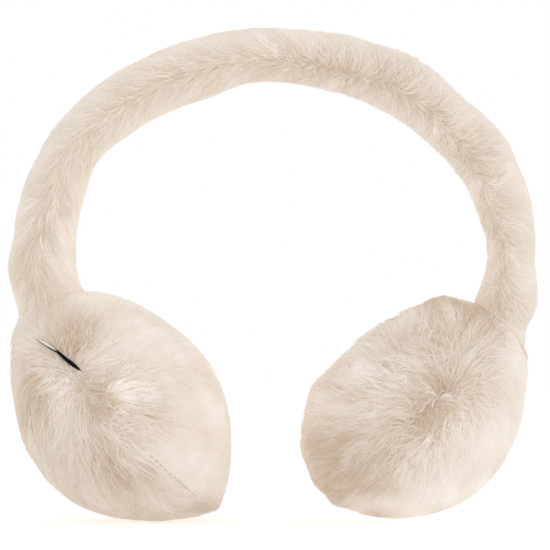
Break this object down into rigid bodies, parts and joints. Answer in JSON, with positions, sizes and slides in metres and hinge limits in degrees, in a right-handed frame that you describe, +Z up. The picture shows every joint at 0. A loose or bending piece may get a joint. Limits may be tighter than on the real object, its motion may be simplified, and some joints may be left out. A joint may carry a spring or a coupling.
{
  "type": "fur earmuffs",
  "caption": "Earmuffs with round padded fur cups, each sewn from an inner and an outer panel, joined by a thick fur sleeve over an arched headband; a small blank label sits in one rim seam.",
  "frame": {"origin": "on the surface the earmuffs stand on, under the middle of the whole object", "axes": "+Z up, from the cups to the crown of the headband; +X from the cup with the label to the other cup; -Y to the front, the side with the partings of the fur"},
  "size_m": [0.2214, 0.1142, 0.2075],
  "materials": {
    "headband_fur": "long soft pile",
    "left_outer_fur": "long soft pile",
    "left_inner_fur": "long soft pile",
    "right_outer_fur": "long soft pile",
    "right_inner_fur": "long soft pile",
    "label_cloth": "woven satin"
  },
  "bodies": {
    "root": {"headband_sleeve": "headband_fur", "left_cup_outer_panel": "left_outer_fur", "left_cup_inner_panel": "left_inner_fur", "right_cup_outer_panel": "right_outer_fur", "right_cup_inner_panel": "right_inner_fur", "seam_label": "label_cloth"}
  },
  "joints": []
}
